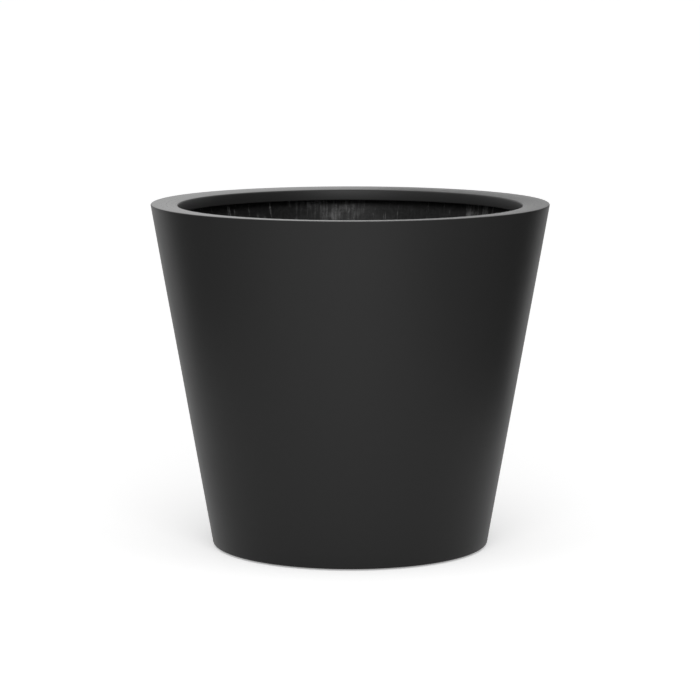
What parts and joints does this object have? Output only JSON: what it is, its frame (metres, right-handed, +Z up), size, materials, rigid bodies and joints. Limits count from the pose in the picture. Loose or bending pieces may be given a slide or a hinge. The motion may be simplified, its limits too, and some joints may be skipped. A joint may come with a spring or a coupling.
{
  "type": "floor planter",
  "caption": "Round tapered floor planter in satin black painted glass-fibre laminate, with a flat rolled rim, a turned-down inner lip and a plugged drain.",
  "frame": {"origin": "on the ground, under the centre of the planter", "axes": "+Z up along the planter's axis; +X to the right and +Y away from the viewer in the picture"},
  "size_m": [0.5792, 0.5792, 0.5029],
  "materials": {
    "painted_laminate": "satin",
    "raw_laminate": "gloss",
    "bonding_resin": "gloss",
    "bung_rubber": "matte",
    "pad_rubber": "matte"
  },
  "bodies": {
    "planter": {"shell": "painted_laminate", "rim_ring": "painted_laminate", "rim_fillet": "bonding_resin", "floor": "raw_laminate", "floor_fillet": "bonding_resin", "foot_pad_1": "pad_rubber", "foot_pad_2": "pad_rubber", "foot_pad_3": "pad_rubber", "foot_pad_4": "pad_rubber"},
    "bung": {"drain_bung": "bung_rubber"}
  },
  "joints": [
    {"name": "bung_lift", "type": "slide", "parent": "planter", "child": "bung", "axis": [0, 0, 1], "range_m": [0, 0.52]}
  ]
}
